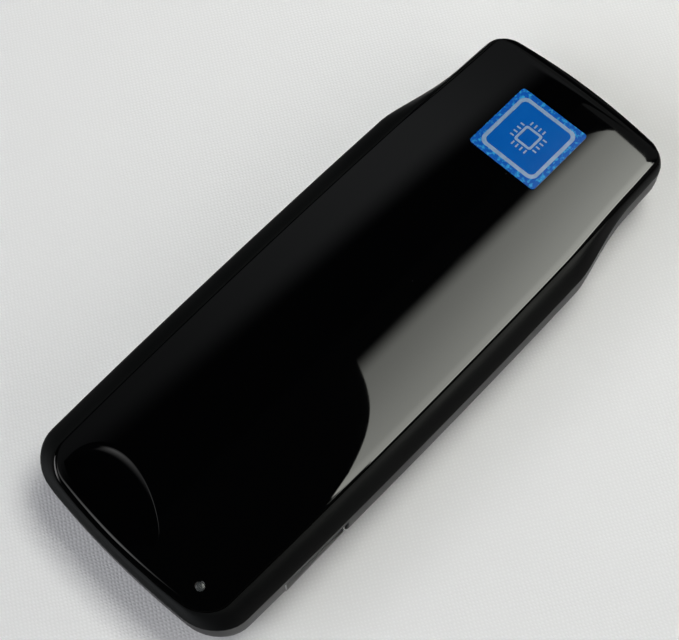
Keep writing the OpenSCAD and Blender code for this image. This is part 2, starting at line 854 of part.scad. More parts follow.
// Runs a cross-section in Y and Z along X
module along_x(x, y, z, l) {
    translate([x, y, z])
        rotate([90, 0, 90])
            linear_extrude(l)
                children();
}

// Runs a cross-section in X and Z along Y
module along_y(x, y, z, l) {
    translate([x, y + l, z])
        rotate([90, 0, 0])
            linear_extrude(l)
                children();
}

module hdmi_shell() {
    back = hdmi_mouth - hdmi_l;
    color("#a9adb3")
    difference() {
        along_x(back, 0, z_board, hdmi_l)
            hdmi_profile(hdmi_out_w, hdmi_out_h, hdmi_step);
        along_x(back + sheet, 0, z_board + sheet, hdmi_l)
            hdmi_profile(hdmi_w, hdmi_h, hdmi_step);
    }
}

// Insulator of the display socket: back block and tongue
module hdmi_tongue() {
    back = hdmi_mouth - hdmi_l + sheet;
    color("#141416") {
        along_x(back, 0, z_board + sheet, 2.5)
            hdmi_profile(hdmi_w, hdmi_h, hdmi_step);
        box_at(back + 5, 0, z_board + sheet + 2.05, 10, 11, 0.9);
    }
}

module hdmi_contacts() {
    back = hdmi_mouth - hdmi_l + sheet;
    color("#c9a24a") {
        for (i = [0:9])
            box_at(back + 6, (i - 4.5) * 1, z_board + sheet + 2.95, 7, 0.5, 0.1);
        for (i = [0:8])
            box_at(back + 6, (i - 4) * 1, z_board + sheet + 1.95, 7, 0.5, 0.1);
    }
}

module usb_shell() {
    color("#b2b6bb")
    difference() {
        box_at(usb_x, usb_mouth + usb_l / 2, z_board, usb_out_w, usb_l, usb_out_h);
        box_at(usb_x, usb_mouth + usb_l / 2 - sheet, z_board + sheet, usb_w, usb_l, usb_h);
    }
}

// Insulator of the large data socket: back block and tongue
module usb_tongue() {
    back = usb_mouth + usb_l - sheet;
    color("#17171a") {
        box_at(usb_x, back - 1.5, z_board + sheet, usb_w, 3, usb_h);
        box_at(usb_x, back - 6, z_board + sheet + 2.6, 11.1, 12, 1.84);
    }
}

module usb_contacts() {
    back = usb_mouth + usb_l - sheet;
    color("#c9a24a")
    for (dx = [-3.5, -1, 1, 3.5])
        box_at(usb_x + dx, back - 7, z_board + sheet + 2.45, 1, 7.5, 0.15);
}

// Cross-section of the power socket, narrower at the bottom
module power_profile(w, h, s) {
    polygon([
        [-w / 2, h], [-w / 2, h * 0.45], [-w / 2 + s, 0],
        [w / 2 - s, 0], [w / 2, h * 0.45], [w / 2, h]
    ]);
}

module power_shell() {
    back = power_mouth - power_l;
    color("#a9adb3")
    difference() {
        along_y(power_x, back, z_board, power_l)
            power_profile(power_out_w, power_out_h, power_step);
        along_y(power_x, back + sheet, z_board + sheet, power_l)
            power_profile(power_w, power_h, power_step);
    }
}

// Insulator of the power socket: back block and thin tongue
module power_tongue() {
    back = power_mouth - power_l + sheet;
    color("#17171a") {
        along_y(power_x, back, z_board + sheet, 1.4)
            power_profile(power_w, power_h, power_step);
        box_at(power_x, back + 2.4, z_board + sheet + 1, 3.7, 4.8, 0.6);
    }
}

module power_contacts() {
    back = power_mouth - power_l + sheet;
    color("#c9a24a")
    for (i = [-2:2])
        box_at(power_x + i * 0.65, back + 3, z_board + sheet + 0.9, 0.35, 3, 0.1);
}

// Plastic floor and rails of the card slot
module card_base() {
    y = card_mouth - card_l / 2;
    rail = (card_out_w - 2 * sheet - card_w) / 2;
    color("#1a1a1d") {
        box_at(card_x, y, z_board, card_out_w - 2 * sheet, card_l, card_base_t);
        for (s = [-1, 1])
            box_at(card_x + s * (card_w + rail) / 2, y, z_board, rail, card_l, card_base_t + card_room);
        box_at(card_x, y - card_l / 2 + 0.6, z_board, card_w + 0.1, 1.2, card_base_t + card_room);
    }
}

// Metal cover of the card slot
module card_cover() {
    y = card_mouth - card_l / 2;
    color("#b2b6bb")
    difference() {
        box_at(card_x, y, z_board, card_out_w, card_l, card_out_h);
        box_at(card_x, y, z_board - 1, card_out_w - 2 * sheet, card_l + 2, card_out_h - sheet + 1);
    }
}

module card_contacts() {
    y = card_mouth - card_l + 4.5;
    color("#c9a24a")
    for (i = [0:7])
        box_at(card_x + (i - 3.5) * 1.1, y, z_board + card_base_t, 0.6, 4, 0.25);
}

bottom_cover();
upper_frame();
top_panel();
panel_tape();
power_key();
light_pipe();
badge_sticker();
rating_label();
case_screws();
main_board();
processor();
memory_chips();
flash_chip();
power_chip();
clock_crystal();
inductors();
capacitors();
status_led();
switch_base();
switch_plunger();
thermal_pad();
heat_sink();
heat_sink_screws();
wireless_module();
antenna_strip();
antenna_cable();
clock_cell();
cell_holder();
hdmi_shell();
hdmi_tongue();
hdmi_contacts();
usb_shell();
usb_tongue();
usb_contacts();
power_shell();
power_tongue();
power_contacts();
card_base();
card_cover();
card_contacts();
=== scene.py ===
import json
import math

import bmesh
import bpy
from mathutils import Matrix, Vector


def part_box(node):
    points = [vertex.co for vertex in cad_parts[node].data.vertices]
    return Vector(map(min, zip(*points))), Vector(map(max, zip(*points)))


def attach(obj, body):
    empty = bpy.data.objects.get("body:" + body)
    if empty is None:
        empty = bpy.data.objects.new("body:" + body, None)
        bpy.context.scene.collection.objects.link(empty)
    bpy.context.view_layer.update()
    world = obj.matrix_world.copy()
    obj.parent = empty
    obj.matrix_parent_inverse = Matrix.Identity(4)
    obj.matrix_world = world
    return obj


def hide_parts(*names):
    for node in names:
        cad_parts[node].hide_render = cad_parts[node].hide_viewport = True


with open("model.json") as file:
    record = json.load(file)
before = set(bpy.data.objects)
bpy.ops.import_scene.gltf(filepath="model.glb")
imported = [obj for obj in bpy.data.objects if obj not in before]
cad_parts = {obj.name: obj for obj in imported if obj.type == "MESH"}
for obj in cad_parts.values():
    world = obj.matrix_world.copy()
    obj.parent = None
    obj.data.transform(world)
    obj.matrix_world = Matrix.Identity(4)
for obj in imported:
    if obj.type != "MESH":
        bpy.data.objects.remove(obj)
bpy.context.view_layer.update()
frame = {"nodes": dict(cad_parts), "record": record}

MM = 0.001


def box_mm(node):
    """Lowest and highest corner of a solid, in millimetres."""
    low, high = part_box(node)
    return low / MM, high / MM


# Sizes read from the solids, in millimetres
cover_low, cover_high = box_mm("bottom_cover")
panel_low, panel_high = box_mm("top_panel")
BODY_L = cover_high.x - cover_low.x
BODY_T = panel_high.z
PANEL_W = panel_high.y - panel_low.y
Z_SKIRT = panel_low.z
NEAR_X = cover_low.x
FAR_X = cover_high.x

# Outline of the panel, as in the part's source: bows of its sides and ends, corner radii, and how far its
# ends lie in from those of the body
SIDE_BOW = 0.9
NEAR_BOW = 2.0
FAR_BOW = 1.8
BOW_REACH = 16.0
NEAR_R = 4.95
FAR_R = 3.75
LEAST_R = 0.4
PANEL_NEAR = 1.25
PANEL_FAR = 0.4

# Shoulder where the frame necks in and the rim of the panel grows wider
NECK_BACK = 28.7
NECK_L = 16.6
NECK_POWER = 0.8
NECK_START = FAR_X - NECK_BACK

# Points along one half of an outline: end, corner, long side, shoulder, tail
COUNTS = (14, 18, 40, 44, 10)

# Upper edge of the panel: a rounding, and a faint pillow inside it
SIDE_ROUND = 0.3
SIDE_DROP = 0.04
SIDE_POWER = 3
NEAR_ROUND = 1.25
NEAR_DROP = 0.15
NEAR_POWER = 2
NEAR_SHARE = 0.8
PILLOW_W = 1.1
PILLOW_DROP = 0.016
PILLOW_POWER = 2
EDGE_N = 12
PILLOW_N = 8

# Matte rim around the gloss, near black and almost without gloss as painted shade for the gap between the
# gloss and the frame: its widths, its slope outward, and how it sits against the gloss
RIM_SIDE = 0.08
RIM_NECK = 0.55
RIM_NEAR = 0.04
RIM_FAR = 0.15
RIM_DROP = 0.42
RIM_FIT = 0.002
RIM_SINK = 0.005

# Sloped band at the far end of the panel
BAND_L = 3.35
BAND_EDGE = 0.05
BAND_FLAT = 0.4
BAND_DROP = 0.6
BAND_POWER = 1.1
DROP_START = PANEL_FAR + BAND_L - BAND_EDGE
DROP_FULL = PANEL_FAR + BAND_FLAT

# Underside of the panel
FLANGE_T = 1.3
SKIRT_INSET = 0.9
Z_FLANGE = BODY_T - FLANGE_T

# Power key: size, place and form of its outline, its middle, its gaps, its flange and its post
KEY_W = 19.6
KEY_L = 8.25
KEY_BACK = 2.2
KEY_X = NEAR_X + PANEL_NEAR + KEY_BACK
KEY_Y = 5.85
KEY_SKEW = 0.25
KEY_FULL = 0.97
KEY_POWER = 0.75
KEY_LIFT = 1.4
KEY_LIFT_POWER = 5
KEY_MIDDLE_SHARE = 0.47
KEY_MIDDLE_ASIDE = 0.5
KEY_MIDDLE_X = KEY_X + KEY_L * KEY_MIDDLE_SHARE
KEY_MIDDLE_Y = KEY_Y + KEY_MIDDLE_ASIDE
KEY_SINK = 0.005
KEY_GAP = 0.006
KEY_FLANGE_GROW = 0.6
KEY_FLANGE_T = 0.6
KEY_FLANGE_GAP = 0.1
KEY_FLANGE_TOP = Z_SKIRT - KEY_FLANGE_GAP
KEY_OVERLAP = 0.1
KEY_POST_R = 1.4
KEY_BASE_N = 32
KEY_ARC_N = 96

# Dish of the key: depth, where it is lowest, the share of the depth left at the arc, and its lean toward +Y
DISH_DEPTH = 0.16
DISH_LOW = 0.7
DISH_RIM = 0.25
DISH_SKEW = 0.7
DISH_POWER = 1.2
DISH_LEAST = 0.1
DISH_N = 36

# Soft lip of the panel around the key
LIP_W = 0.7
LIP_LEAST = 0.02
LIP_POWER = 1.8
LIP_N = 7
LIP_FLAT_N = 3

# Points of small round shapes, and the angles in degrees above which edges stay sharp
CIRCLE_N = 48
SQUARE_N = 8
PIECE_SHARP = 38.0
SOLID_SHARP = 28.0
WELD_MM = 0.002


# Outlines

def clamp(value, low=0.0):
    """Value held between low and 1."""
    return min(1.0, max(low, value))


def soft_step(t):
    """Step from 0 to 1 that starts and ends level."""
    return t * t * (3 - 2 * t)


def stretch(start, end, count):
    """Evenly spaced values from start up to but not including end."""
    return [start + (end - start) * i / count for i in range(count)]


def neck_share(x):
    """Share of the shoulder passed at x, from 0 on the body to 1 at the far end."""
    return soft_step(clamp((x - NECK_START) / NECK_L) ** NECK_POWER)


def half_width(x, inset, rim):
    """Half width of the panel at x, less an inset, and less the rim's width where rim is 1."""
    bow = SIDE_BOW * (2 * x / BODY_L) ** 2
    rim_w = RIM_SIDE + (RIM_NECK - RIM_SIDE) * neck_share(x)
    return PANEL_W / 2 - bow - inset - rim * rim_w


def bowed(x, y):
    """Moves a point of the ends along X so that both ends are bowed."""
    near_part = max(0.0, 1 - (x - NEAR_X) / BOW_REACH) ** 2
    far_part = max(0.0, 1 - (FAR_X - x) / BOW_REACH) ** 2
    return x + (NEAR_BOW * near_part - FAR_BOW * far_part) * (2 * y / PANEL_W) ** 2, y


def half_outline(inset, near_in, far_in, rim):
    """Half of the panel's outline on the +Y side, from the near end to the far end."""
    near = NEAR_X + PANEL_NEAR + near_in
    far = FAR_X - PANEL_FAR - far_in
    near_r = NEAR_R - inset
    far_r = max(LEAST_R, FAR_R - inset - RIM_NECK * rim)
    near_y = half_width(near + near_r, inset, rim) - near_r
    far_y = half_width(far - far_r, inset, rim) - far_r
    end_n, corner_n, long_n, neck_n, tail_n = COUNTS
    points = [(near, y) for y in stretch(0.0, near_y, end_n)]
    for a in stretch(0.0, math.pi / 2, corner_n):
        points.append((near + near_r - near_r * math.cos(a), near_y + near_r * math.sin(a)))
    ends = (near + near_r, NECK_START, NECK_START + NECK_L, far - far_r)
    for start, end, count in zip(ends, ends[1:], (long_n, neck_n, tail_n)):
        points += [(x, half_width(x, inset, rim)) for x in stretch(start, end, count)]
    for a in stretch(0.0, math.pi / 2, corner_n):
        points.append((far - far_r + far_r * math.sin(a), far_y + far_r * math.cos(a)))
    points += [(far, y) for y in stretch(far_y, 0.0, end_n)]
    points.append((far, 0.0))
    return points


def outline(inset, near_in, far_in, rim=0.0):
    """Whole outline of the panel, drawn in at its sides and at both ends, and by the rim where rim is 1."""
    half = [bowed(x, y) for x, y in half_outline(inset, near_in, far_in, rim)]
    return [(x, -y) for x, y in half] + half[-2:0:-1]


def level(points, z):
    """Outline lifted to a level."""
    return [(x, y, z) for x, y in points]


def drop_share(x):
    """Share of the far end's drop at x."""
    return soft_step(clamp((x - FAR_X + DROP_START) / (DROP_START - DROP_FULL)))


def key_rise(c):
    """How far the near side of the key rises toward its tips."""
    return KEY_LIFT * abs(c) ** KEY_LIFT_POWER


def key_reach(c, length):
    """Distance from the near side of the key to its arc."""
    roundness = max(0.0, 1 - c * c) ** (KEY_POWER / 2)
    return length * KEY_FULL * roundness * (1 + KEY_SKEW * c) * (1 - key_rise(c) / length)


def key_outline(grow):
    """Outline of the key, grown on all sides."""
    length = KEY_L + 2 * grow
    half = KEY_W / 2 + grow
    start = KEY_X - grow
    points = []
    for c in stretch(1.0, -1.0, KEY_BASE_N):
        points.append((start + key_rise(c), KEY_Y + half * c))
    for a in stretch(math.pi, 0.0, KEY_ARC_N):
        c = math.cos(a)
        points.append((start + key_rise(c) + key_reach(c, length), KEY_Y + half * c))
    return points


def dish_share(t):
    """Share of the dish's depth on the way from the near side of the key to its arc."""
    if t < DISH_LOW:
        return math.sin(math.pi / 2 * (t / DISH_LOW) ** DISH_POWER)
    return 1 - (1 - DISH_RIM) * ((t - DISH_LOW) / (1 - DISH_LOW)) ** 2


def dish_at(x, y):
    """Depth of the dish at a point: none at the near side, fading at both tips, deeper toward +Y."""
    c = clamp((y - KEY_Y) / (KEY_W / 2 - KEY_GAP), -1.0)
    reach = max(DISH_LEAST, key_reach(c, KEY_L - 2 * KEY_GAP))
    t = clamp((x - KEY_X - KEY_GAP - key_rise(c)) / reach)
    return DISH_DEPTH * math.sqrt(1 - c * c) * (1 + DISH_SKEW * c) * dish_share(t)


def circle(x, y, r):
    """Round outline."""
    angles = stretch(0.0, 2 * math.pi, CIRCLE_N)
    return [(x + r * math.cos(a), y + r * math.sin(a)) for a in angles]


def round_square(x, y, side, r):
    """Square outline with round corners."""
    reach = side / 2 - r
    points = []
    for turn in range(4):
        sx = 1 if turn in (0, 3) else -1
        sy = 1 if turn in (0, 1) else -1
        for a in stretch(0.0, math.pi / 2, SQUARE_N):
            angle = turn * math.pi / 2 + a
            points.append((x + sx * reach + r * math.cos(angle), y + sy * reach + r * math.sin(angle)))
    return points


# Meshes

def add_ring(bm, points):
    """Adds a loop of points given in millimetres."""
    return [bm.verts.new(Vector(p) * MM) for p in points]


def add_wall(bm, rings):
    """Joins loops with the same number of points by quads."""
    for low, high in zip(rings, rings[1:]):
        count = len(low)
        for i in range(count):
            j = (i + 1) % count
            bm.faces.new((low[i], low[j], high[j], high[i]))


def ring_edges(bm, ring):
    """Edges of a closed loop, made where they are missing."""
    edges = []
    for a, b in zip(ring, ring[1:] + ring[:1]):
        edges.append(bm.edges.get((a, b)) or bm.edges.new((a, b)))
    return edges


def add_cap(bm, *rings):
    """Fills a flat area between an outer loop and the loops of its holes."""
    edges = [e for ring in rings for e in ring_edges(bm, ring)]
    bmesh.ops.triangle_fill(bm, use_beauty=True, use_dissolve=False, edges=edges)


def add_solid(bm, loops):
    """Closed shell over a stack of loops."""
    rings = [add_ring(bm, loop) for loop in loops]
    add_wall(bm, rings)
    add_cap(bm, rings[0])
    add_cap(bm, rings[-1])


def add_rod(bm, x, y, steps):
    """Closed turned shell: steps are radius and level, from the bottom up."""
    add_solid(bm, [level(circle(x, y, r), z) for r, z in steps])


def add_block(bm, x, y, z0, z1, length, width):
    """Closed box from its centre in X and Y and its two levels."""
    half_l, half_w = length / 2, width / 2
    signs = ((-1, -1), (1, -1), (1, 1), (-1, 1))
    corners = [(x + sx * half_l, y + sy * half_w) for sx, sy in signs]
    add_solid(bm, [level(corners, z0), level(corners, z1)])


def make_piece(name, bm, material, body):
    """Turns a mesh into a smooth-shaded piece that rides on a body."""
    bmesh.ops.recalc_face_normals(bm, faces=bm.faces)
    mesh = bpy.data.meshes.new(name)
    bm.to_mesh(mesh)
    bm.free()
    mesh.polygons.foreach_set("use_smooth", [True] * len(mesh.polygons))
    mesh.set_sharp_from_angle(angle=math.radians(PIECE_SHARP))
    mesh.materials.append(material)
    piece = bpy.data.objects.new(name, mesh)
    bpy.context.scene.collection.objects.link(piece)
    normals = piece.modifiers.new("normals", "WEIGHTED_NORMAL")
    normals.keep_sharp = True
    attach(piece, body)
    return piece


# Materials

SATIN_GRAIN_MM = 0.16
MOULD_GRAIN_MM = 0.3
METAL_STREAK = (1.0, 14.0, 14.0)
WEAVE_SCALE = 520.0
WEAVE_TURN = 33.0


def tinted(color, share):
    """Colour made lighter or darker."""
    return tuple(c * share for c in color)


def set_range(node, low, high, start, end):
    """Limits of a node that maps low..high to start..end."""
    limits = {"From Min": low, "From Max": high, "To Min": start, "To Max": end}
    for socket, value in limits.items():
        node.inputs[socket].default_value = value


def add_ramp(tree, place, direction, low, high, start, end):
    """Soft ramp along a direction, from low to high."""
    dot = tree.nodes.new("ShaderNodeVectorMath")
    dot.operation = "DOT_PRODUCT"
    dot.inputs[1].default_value = direction
    tree.links.new(place, dot.inputs[0])
    node = tree.nodes.new("ShaderNodeMapRange")
    node.interpolation_type = "SMOOTHSTEP"
    set_range(node, low, high, start, end)
    tree.links.new(dot.outputs["Value"], node.inputs["Value"])
    return node.outputs["Result"]


class Surface:
    """A Principled material with helpers for its node detail."""

    def __init__(self, name, color, roughness, metallic=0.0):
        self.material = bpy.data.materials.new(name)
        self.material.use_nodes = True
        self.nodes = self.material.node_tree.nodes
        self.links = self.material.node_tree.links
        self.shader = self.nodes["Principled BSDF"]
        self.color = color
        self.shader.inputs["Base Color"].default_value = (*color, 1.0)
        self.shader.inputs["Roughness"].default_value = roughness
        self.shader.inputs["Metallic"].default_value = metallic
        self.place = self.nodes.new("ShaderNodeTexCoord").outputs["Object"]

    def set(self, socket, value):
        """Fixed value of one input of the shader."""
        self.shader.inputs[socket].default_value = value
        return self

    def noise(self, grain_mm, detail, squash=(1.0, 1.0, 1.0)):
        """Noise whose features are about grain_mm across."""
        mapping = self.nodes.new("ShaderNodeMapping")
        mapping.inputs["Scale"].default_value = squash
        self.links.new(self.place, mapping.inputs["Vector"])
        noise = self.nodes.new("ShaderNodeTexNoise")
        noise.inputs["Scale"].default_value = 1.0 / (grain_mm * MM)
        noise.inputs["Detail"].default_value = detail
        self.links.new(mapping.outputs["Vector"], noise.inputs["Vector"])
        return noise.outputs["Fac"]

    def cells(self, size_mm):
        """Distance to scattered points about size_mm apart."""
        cells = self.nodes.new("ShaderNodeTexVoronoi")
        cells.inputs["Scale"].default_value = 1.0 / (size_mm * MM)
        self.links.new(self.place, cells.inputs["Vector"])
        return cells.outputs["Distance"]

    def ramp(self, value, low, high, start, end):
        """Maps value from low..high to start..end."""
        node = self.nodes.new("ShaderNodeMapRange")
        set_range(node, low, high, start, end)
        self.links.new(value, node.inputs["Value"])
        return node.outputs["Result"]

    def mix(self, factor, first, second):
        """Blends two colours, each a colour or an output."""
        node = self.nodes.new("ShaderNodeMix")
        node.data_type = "RGBA"
        self.links.new(factor, node.inputs["Factor"])
        # The node has sockets for each kind of data: 6, 7 and output 2 are its colours
        for socket, value in ((node.inputs[6], first), (node.inputs[7], second)):
            if isinstance(value, tuple):
                socket.default_value = (*value, 1.0)
            else:
                self.links.new(value, socket)
        return node.outputs[2]

    def paint(self, output):
        """Base colour that follows an output."""
        self.links.new(output, self.shader.inputs["Base Color"])
        return self

    def polish(self, value, low, high, start, end):
        """Roughness that follows a value."""
        self.links.new(self.ramp(value, low, high, start, end), self.shader.inputs["Roughness"])
        return self

    def bump(self, value, depth_mm, strength):
        """Surface relief that follows a value."""
        node = self.nodes.new("ShaderNodeBump")
        node.inputs["Strength"].default_value = strength
        node.inputs["Distance"].default_value = depth_mm * MM
        self.links.new(value, node.inputs["Height"])
        self.links.new(node.outputs["Normal"], self.shader.inputs["Normal"])
        return self


def gloss_black():
    """Piano gloss with faint smears and a few specks of dust."""
    surface = Surface("gloss_black", (0.0007, 0.00075, 0.0009), 0.02)
    smears = surface.noise(9.0, 5.0, (1.0, 2.2, 1.0))
    surface.polish(smears, 0.35, 0.7, 0.012, 0.024)
    specks = surface.ramp(surface.cells(4.2), 0.012, 0.02, 1.0, 0.0)
    surface.paint(surface.mix(specks, surface.color, (0.05, 0.05, 0.055)))
    return surface.material


def satin_black(name, color, roughness, shine):
    """Fine moulded satin with slightly uneven sheen."""
    surface = Surface(name, color, roughness)
    grain = surface.noise(SATIN_GRAIN_MM, 2.0)
    sheen = surface.noise(14.0, 4.0)
    surface.polish(sheen, 0.3, 0.7, roughness - 0.05, roughness + 0.06)
    surface.paint(surface.mix(sheen, color, tinted(color, 1.25)))
    surface.bump(grain, 0.004, 0.5)
    surface.set("Specular IOR Level", shine)
    return surface.material


def moulded(name, color, roughness):
    """Plain moulded plastic or ceramic."""
    surface = Surface(name, color, roughness)
    tone = surface.noise(2.5, 4.0)
    surface.paint(surface.mix(tone, tinted(color, 0.85), tinted(color, 1.12)))
    surface.polish(tone, 0.3, 0.7, roughness - 0.06, roughness + 0.08)
    surface.bump(surface.noise(MOULD_GRAIN_MM, 2.0), 0.006, 0.5)
    return surface.material


def metal(name, color, roughness):
    """Plated or rolled sheet with fine streaks."""
    surface = Surface(name, color, roughness, 1.0)
    streaks = surface.noise(0.6, 5.0, METAL_STREAK)
    tone = surface.noise(3.0, 3.0)
    surface.paint(surface.mix(tone, tinted(color, 0.9), color))
    surface.polish(streaks, 0.25, 0.75, roughness - 0.07, roughness + 0.1)
    surface.bump(streaks, 0.002, 0.4)
    return surface.material


def board():
    """Solder mask with a hint of the copper under it."""
    surface = Surface("board_green", (0.02, 0.11, 0.05), 0.35)
    copper = surface.ramp(surface.noise(1.3, 1.0, (1.0, 3.0, 1.0)), 0.5, 0.54, 0.0, 1.0)
    surface.paint(surface.mix(copper, surface.color, (0.035, 0.16, 0.07)))
    surface.bump(copper, 0.02, 0.4)
    return surface.material


def paper():
    """Blank printed label."""
    surface = Surface("label_paper", (0.56, 0.56, 0.54), 0.6)
    fibres = surface.noise(0.5, 5.0)
    surface.paint(surface.mix(fibres, (0.52, 0.52, 0.5), (0.6, 0.6, 0.58)))
    surface.bump(fibres, 0.006, 0.4)
    return surface.material


def clear_plastic():
    """Clear rod with a frosted tip."""
    surface = Surface("clear_plastic", (0.34, 0.35, 0.37), 0.25)
    surface.set("Transmission Weight", 0.35).set("IOR", 1.49)
    haze = surface.noise(0.4, 3.0)
    surface.paint(surface.mix(haze, (0.03, 0.033, 0.035), (0.085, 0.092, 0.098)))
    surface.polish(haze, 0.3, 0.7, 0.2, 0.35)
    return surface.material


def badge_foil():
    """Blue foil of the badge, with paler glints along its margin."""
    surface = Surface("badge_foil", (0.004, 0.1, 0.42), 0.12)
    glints = surface.ramp(surface.noise(0.7, 4.0), 0.5, 0.66, 0.0, 1.0)
    surface.paint(surface.mix(glints, (0.004, 0.085, 0.4), (0.03, 0.3, 0.62)))
    surface.set("Specular IOR Level", 0.15)
    return surface.material


def badge_field():
    """Deeper blue inside the badge's border."""
    surface = Surface("badge_field", (0.003, 0.085, 0.4), 0.1)
    cloud = surface.noise(5.0, 2.0)
    surface.paint(surface.mix(cloud, (0.001, 0.075, 0.35), (0.003, 0.105, 0.42)))
    surface.set("Specular IOR Level", 0.15)
    return surface.material


def badge_silver():
    """Pale printed silver."""
    surface = Surface("badge_silver", (0.2, 0.3, 0.46), 0.2)
    tone = surface.noise(1.2, 3.0)
    surface.paint(surface.mix(tone, (0.12, 0.22, 0.38), (0.25, 0.36, 0.54)))
    return surface.material


def cloth():
    """White woven cloth of the floor."""
    surface = Surface("floor_cloth", (0.9, 0.89, 0.91), 0.9)
    weave = []
    for direction in ("X", "Y"):
        wave = surface.nodes.new("ShaderNodeTexWave")
        wave.bands_direction = direction
        wave.inputs["Scale"].default_value = WEAVE_SCALE
        wave.inputs["Distortion"].default_value = 3.0
        wave.inputs["Detail"].default_value = 2.0
        turn = surface.nodes.new("ShaderNodeMapping")
        turn.inputs["Rotation"].default_value = (0.0, 0.0, math.radians(WEAVE_TURN))
        surface.links.new(surface.place, turn.inputs["Vector"])
        surface.links.new(turn.outputs["Vector"], wave.inputs["Vector"])
        weave.append(wave.outputs["Fac"])
    cross = surface.nodes.new("ShaderNodeMath")
    cross.operation = "MULTIPLY"
    surface.links.new(weave[0], cross.inputs[0])
    surface.links.new(weave[1], cross.inputs[1])
    threads = cross.outputs["Value"]
    surface.paint(surface.mix(threads, (0.863, 0.856, 0.884), (0.913, 0.906, 0.934)))
    surface.bump(threads, 0.1, 0.3)
    return surface.material


MATERIALS = {
    "gloss_black": gloss_black(),
    "satin_black": satin_black("satin_black", (0.003, 0.0032, 0.0034), 0.36, 0.065),
    # Near-black rim with almost no gloss: painted shade for the gap between the gloss panel and the frame
    "seam_shade_black": satin_black("seam_shade_black", (0.002, 0.002, 0.002), 0.5, 0.012),
    "cover_black": satin_black("cover_black", (0.0075, 0.0075, 0.0077), 0.36, 0.08),
    "tape_grey": moulded("tape_grey", (0.08, 0.075, 0.07), 0.8),
    "clear_plastic": clear_plastic(),
    "badge_blue": badge_foil(),
    "label_paper": paper(),
    "steel": metal("steel", (0.5, 0.51, 0.53), 0.32),
    "board_green": board(),
    "chip_green": moulded("chip_green", (0.02, 0.05, 0.025), 0.4),
    "chip_black": moulded("chip_black", (0.012, 0.012, 0.013), 0.55),
    "nickel": metal("nickel", (0.42, 0.42, 0.43), 0.38),
    "ferrite": moulded("ferrite", (0.03, 0.03, 0.032), 0.6),
    "capacitor_tan": moulded("capacitor_tan", (0.28, 0.19, 0.1), 0.5),
    "lamp_white": moulded("lamp_white", (0.8, 0.77, 0.62), 0.3),
    "plunger_cream": moulded("plunger_cream", (0.5, 0.47, 0.4), 0.45),
    "pad_blue": moulded("pad_blue", (0.2, 0.3, 0.4), 0.85),
    "aluminium": metal("aluminium", (0.66, 0.67, 0.69), 0.4),
    "film_amber": moulded("film_amber", (0.4, 0.2, 0.03), 0.3),
    "cable_black": moulded("cable_black", (0.012, 0.012, 0.012), 0.6),
    "contact_gold": metal("contact_gold", (0.75, 0.52, 0.2), 0.25),
}
FIELD = badge_field()
SILVER = badge_silver()


# Smooth shading for the solids that stay

def smooth_group():
    """Node group that welds a mesh and shades it smooth up to an angle."""
    group = bpy.data.node_groups.new("smooth_by_angle", "GeometryNodeTree")
    group.interface.new_socket("Geometry", in_out="INPUT", socket_type="NodeSocketGeometry")
    group.interface.new_socket("Geometry", in_out="OUTPUT", socket_type="NodeSocketGeometry")
    source = group.nodes.new("NodeGroupInput")
    target = group.nodes.new("NodeGroupOutput")
    weld = group.nodes.new("GeometryNodeMergeByDistance")
    weld.inputs["Distance"].default_value = WELD_MM * MM
    faces = group.nodes.new("GeometryNodeSetShadeSmooth")
    faces.domain = "FACE"
    angle = group.nodes.new("GeometryNodeInputMeshEdgeAngle")
    sharper = group.nodes.new("FunctionNodeCompare")
    sharper.operation = "GREATER_THAN"
    sharper.inputs[1].default_value = math.radians(SOLID_SHARP)
    edges = group.nodes.new("GeometryNodeSetShadeSmooth")
    edges.domain = "EDGE"
    edges.inputs["Shade Smooth"].default_value = False
    group.links.new(source.outputs[0], weld.inputs["Geometry"])
    group.links.new(weld.outputs["Geometry"], faces.inputs["Geometry"])
    group.links.new(faces.outputs["Geometry"], edges.inputs["Geometry"])
    group.links.new(angle.outputs["Unsigned Angle"], sharper.inputs[0])
    group.links.new(sharper.outputs["Result"], edges.inputs["Selection"])
    group.links.new(edges.outputs["Geometry"], target.inputs[0])
    return group


SMOOTH = smooth_group()
for part in frame["record"]["subparts"]:
    solid = frame["nodes"][part["node"]]
    solid.data.materials.clear()
    solid.data.materials.append(MATERIALS[part["material_slot"]])
    smooth = solid.modifiers.new("smooth", "NODES")
    smooth.node_group = SMOOTH


# Gloss panel

light_low, light_high = box_mm("light_pipe")
LIGHT_X = (light_low.x + light_high.x) / 2
LIGHT_Y = (light_low.y + light_high.y) / 2
LIGHT_R = 0.725
LIGHT_GAP = 0.03
LIGHT_CHAMFER = 0.05


def edge_loop(points, z, near_z, drop):
    """Lifts an edge outline: one level at the near end, another along the sides, lowered at the far end."""
    loop = []
    for x, y in points:
        t = clamp((x - NEAR_X - PANEL_NEAR - NEAR_ROUND) / NEAR_R)
        loop.append((x, y, near_z + (z - near_z) * t - BAND_DROP * drop * drop_share(x)))
    return loop


